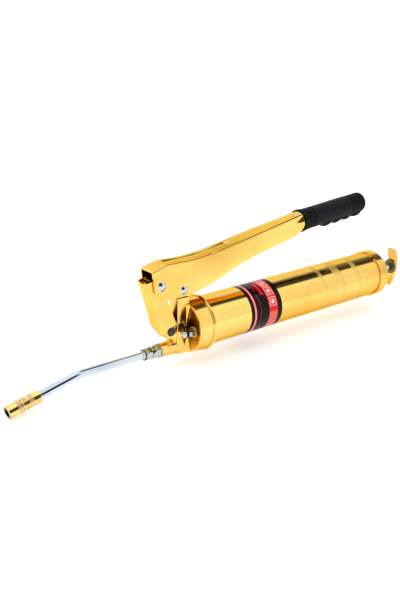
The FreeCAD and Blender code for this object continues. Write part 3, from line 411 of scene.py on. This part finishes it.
# Lengths run from the grip's front end, and the lip, neck and body are radii.
GRIP_LENGTH = 110.5 * MM
GRIP_HOLE = 12.32 * MM      # the radius of the lever's round end, which fills it
GRIP_LIP, GRIP_NECK, GRIP_BODY = 13.8 * MM, 13.1 * MM, 12.35 * MM
LIP_END, NECK_START, NECK_TAPER = 3 * MM, 7 * MM, 16 * MM
FRONT_ROUNDING, REAR_ROUNDING = 0.8 * MM, 5 * MM
MOUTH_DEPTH, MOUTH_EDGE = 5.0 * MM, 0.3 * MM
FINGERS = [(44.5 + 17.8 * i) * MM for i in range(4)]
FINGER_HALF, FINGER_RISE, FINGER_ARC = 7.0 * MM, 3.9 * MM, 0.72
POINTS_AROUND = 120
FRONT_RINGS, FRONT_STEP, BODY_STEPS = 8, 0.45 * MM, 210


def swelling(value, middle, half):
    """A round-topped swelling that meets the surface beside it at a crisp edge."""
    part = (value - middle) / half
    return math.sqrt(1 - part * part) if abs(part) < 1 else 0.0


def eased(value, start, end):
    """0 before start and 1 after end, with a smooth rise between."""
    part = min(1, max(0, (value - start) / (end - start)))
    return part * part * (3 - 2 * part)


def rounding(value, size):
    """How far a rounded edge of that size falls back at a distance from the end face."""
    return size * (1 - math.sqrt(max(0, 1 - (1 - value / size) ** 2))) if value < size else 0.0


def grip_radius(along, angle):
    """Radius of the grip. The angle is 0 at its top and pi where the fingers lie."""
    radius = GRIP_LIP + (GRIP_NECK - GRIP_LIP) * eased(along, LIP_END, NECK_START)
    radius += (GRIP_BODY - GRIP_NECK) * min(1, max(0, (along - NECK_START) / NECK_TAPER))
    radius += PANEL_RISE * min(1, max(0, min(along - PANEL_START, PANEL_END - along) / MM))
    radius -= rounding(along, FRONT_ROUNDING) + rounding(GRIP_LENGTH - along, REAR_ROUNDING)
    around = swelling(angle, math.pi, FINGER_ARC)
    return radius + sum(FINGER_RISE * swelling(along, middle, FINGER_HALF) * around
                        for middle in FINGERS)


def make_grip():
    """A closed skin lofted along the grip, turned in at its mouth and closed at its rear."""
    mesh = bmesh.new()
    around = [2 * math.pi * i / POINTS_AROUND for i in range(POINTS_AROUND)]
    front_end = FRONT_RINGS * FRONT_STEP
    places = [FRONT_STEP * i for i in range(FRONT_RINGS)]
    places += [front_end + (GRIP_LENGTH - front_end) * i / BODY_STEPS
               for i in range(BODY_STEPS + 1)]
    tilt = Matrix.Rotation(-TILT, 3, "Y")
    corner = Vector(GRIP_CORNER)

    def ring(along, radius_at):
        return [mesh.verts.new(corner + tilt @ Vector(
            (along, -radius_at(a) * math.sin(a), radius_at(a) * math.cos(a)))) for a in around]

    def join(first, second):
        for i in range(len(around)):
            j = (i + 1) % len(around)
            mesh.faces.new((first[i], first[j], second[j], second[i]))

    rings = [ring(place, lambda a: GRIP_HOLE) for place in (MOUTH_DEPTH, MOUTH_EDGE)]
    rings += [ring(place, lambda a, p=place: grip_radius(p, a)) for place in places]
    for first, second in zip(rings, rings[1:]):
        join(first, second)
    mesh.faces.new(rings[0])
    mesh.faces.new(rings[-1][::-1])
    bmesh.ops.recalc_face_normals(mesh, faces=mesh.faces)
    data = bpy.data.meshes.new("grip_moulding")
    mesh.to_mesh(data)
    data.shade_smooth()
    data.materials.append(grip_rubber)
    grip = bpy.data.objects.new("grip_moulding", data)
    bpy.context.scene.collection.objects.link(grip)
    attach(grip, "lever")
    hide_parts("lever_grip")


make_grip()


# ---- spring coils --------------------------------------------------------------------------------

SPRINGS = (
    ("follower_spring", "follower_slide"),
    ("bleeder_spring", "bleeder_push"),
    ("outlet_spring", "outlet_ball_lift"),
    ("coupler_spring", "jaws_slide"),
    ("coupler_ball_spring", "coupler_ball_lift"),
)


def make_springs():
    """Each spring gets its own copy of the coil, on the gun's body, in place of the model's spring.
    """
    for name, joint in SPRINGS:
        data = NODES[name].data.copy()
        coil = bpy.data.objects.new(name + "_coil", data)
        bpy.context.scene.collection.objects.link(coil)
        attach(coil, "gun")
        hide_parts(name)
        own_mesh(coil)


make_springs()


# ---- studio --------------------------------------------------------------------------------------

CAMERA_PLACE = (-0.7446, -0.7191, 0.3761)
CAMERA_YAW, CAMERA_PITCH, CAMERA_ROLL = (math.radians(a) for a in (49.84, -20.44, 1.27))
CAMERA_LENS = 54.05         # mm, on Blender's own 36 mm sensor
FLOOR_HALF = 40
FLOOR_GLOW = (0.7, 2.5, 0.37, 0.48)     # near and far distance, and the strength at each

# The surroundings as stops: height goes from 0, level at the -Y side, over 0.5, overhead, to 1,
# level at the +Y side. Each stop is (height, brightness).
RIGHT_LEVELS = (
    (0.0, 0.85), (0.03, 0.92), (0.26, 0.93), (0.31, 1.0), (0.41, 0.94), (0.43, 0.14),
    (0.46, 0.05), (0.52, 0.05), (0.57, 0.12), (0.65, 0.25), (0.70, 0.82), (0.80, 0.86),
    (0.88, 0.96), (1.0, 0.96))
LEFT_LEVELS = ((0.0, 0.10), (0.03, 0.05), (0.28, 0.05), (0.32, 0.85), (0.37, 1.0), (1.0, 0.9))
WHITE_LEVELS = ((0.0, 0.9), (1.0, 0.9))
WORLD_STRENGTH = 1.24
BLEND_WIDTH = 0.03


def make_camera():
    camera = bpy.data.objects.new("camera", bpy.data.cameras.new("camera"))
    bpy.context.scene.collection.objects.link(camera)
    camera.data.lens = CAMERA_LENS
    level = math.cos(CAMERA_PITCH)
    ahead = Vector((level * math.cos(CAMERA_YAW), level * math.sin(CAMERA_YAW),
                    math.sin(CAMERA_PITCH)))
    side = ahead.cross(Vector((0, 0, 1))).normalized()
    top = side.cross(ahead)
    right = math.cos(CAMERA_ROLL) * side + math.sin(CAMERA_ROLL) * top
    up = -math.sin(CAMERA_ROLL) * side + math.cos(CAMERA_ROLL) * top
    turn = Matrix((right, up, -ahead)).transposed().to_4x4()
    camera.matrix_world = Matrix.Translation(CAMERA_PLACE) @ turn
    bpy.context.scene.camera = camera


def make_floor():
    """Plain white paper that glows a little, more so away from the gun."""
    mesh = bpy.data.meshes.new("floor")
    corners = [(x * FLOOR_HALF, y * FLOOR_HALF, 0) for x, y in ((-1, -1), (1, -1), (1, 1), (-1, 1))]
    mesh.from_pydata(corners, [], [(0, 1, 2, 3)])
    floor = bpy.data.objects.new("floor", mesh)
    floor.location.z = cad_low.z - 1 * MM
    bpy.context.scene.collection.objects.link(floor)
    s = Shader("floor_paper")
    x, y, z = s.axes()
    s.set(Base_Color=(0.75, 0.75, 0.75, 1), Roughness=0.9, Emission_Color=(1, 1, 1, 1),
          Emission_Strength=s.remap(s.distance(x, y), *FLOOR_GLOW))
    mesh.materials.append(s.material)


def make_world():
    """Soft white light all round, with a dim gap between soft boxes. The gap is high to the right
    of the camera and low to its left. It shows in reflections, and the backdrop stays white."""
    world = bpy.data.worlds.new("studio")
    bpy.context.scene.world = world
    world.use_nodes = True
    tree = world.node_tree

    def calculate(operation, first, second):
        made = tree.nodes.new("ShaderNodeMath")
        made.operation = operation
        for socket, value in zip(made.inputs, (first, second)):
            if isinstance(value, (int, float)):
                socket.default_value = value
            else:
                tree.links.new(value, socket)
        return made.outputs[0]

    def levels(height, stops):
        ramp = tree.nodes.new("ShaderNodeValToRGB")
        tree.links.new(height, ramp.inputs[0])
        while len(ramp.color_ramp.elements) < len(stops):
            ramp.color_ramp.elements.new(0.5)
        for element, (place, level) in zip(ramp.color_ramp.elements, stops):
            element.position = place
            element.color = (level, level, level, 1)
        return ramp.outputs[0]

    coord = tree.nodes.new("ShaderNodeTexCoord")
    split = tree.nodes.new("ShaderNodeSeparateXYZ")
    tree.links.new(coord.outputs["Generated"], split.inputs[0])
    x, y, z = split.outputs
    turn = calculate("ARCTAN2", z, calculate("MULTIPLY", y, -1))
    height = calculate("MULTIPLY", turn, 1 / math.pi)
    right, left, white = (levels(height, stops)
                          for stops in (RIGHT_LEVELS, LEFT_LEVELS, WHITE_LEVELS))

    def blend(factor, first, second):
        made = tree.nodes.new("ShaderNodeMix")
        made.data_type = "RGBA"
        for socket, value in zip((made.inputs["Factor"], made.inputs[6], made.inputs[7]),
                                 (factor, first, second)):
            tree.links.new(value, socket)
        return made.outputs[2]

    light = white
    for start, beyond in ((-0.60, left), (0.38, right), (0.765, white)):
        side = tree.nodes.new("ShaderNodeMapRange")
        tree.links.new(x, side.inputs["Value"])
        side.inputs["From Min"].default_value = start
        side.inputs["From Max"].default_value = start + BLEND_WIDTH
        light = blend(side.outputs[0], light, beyond)
    ray = tree.nodes.new("ShaderNodeLightPath")
    light = blend(ray.outputs["Is Camera Ray"], light, white)
    back = tree.nodes["Background"]
    tree.links.new(light, back.inputs[0])
    back.inputs[1].default_value = WORLD_STRENGTH


def make_lights():
    """Two large soft lamps, hidden in reflections."""
    for name, place, size, power in (
        ("key", (-0.7, -0.6, 1.6), 1.8, 14),
        ("fill", (0.9, 0.9, 1.3), 1.6, 8),
    ):
        data = bpy.data.lights.new(name, "AREA")
        data.size, data.energy = size, power
        light = bpy.data.objects.new(name, data)
        light.visible_glossy = False
        light.location = place
        light.rotation_mode = "QUATERNION"
        light.rotation_quaternion = (-Vector(place)).to_track_quat("-Z", "Y")
        bpy.context.scene.collection.objects.link(light)


make_camera()
make_floor()
make_world()
make_lights()
bpy.context.scene.view_settings.view_transform = "Standard"
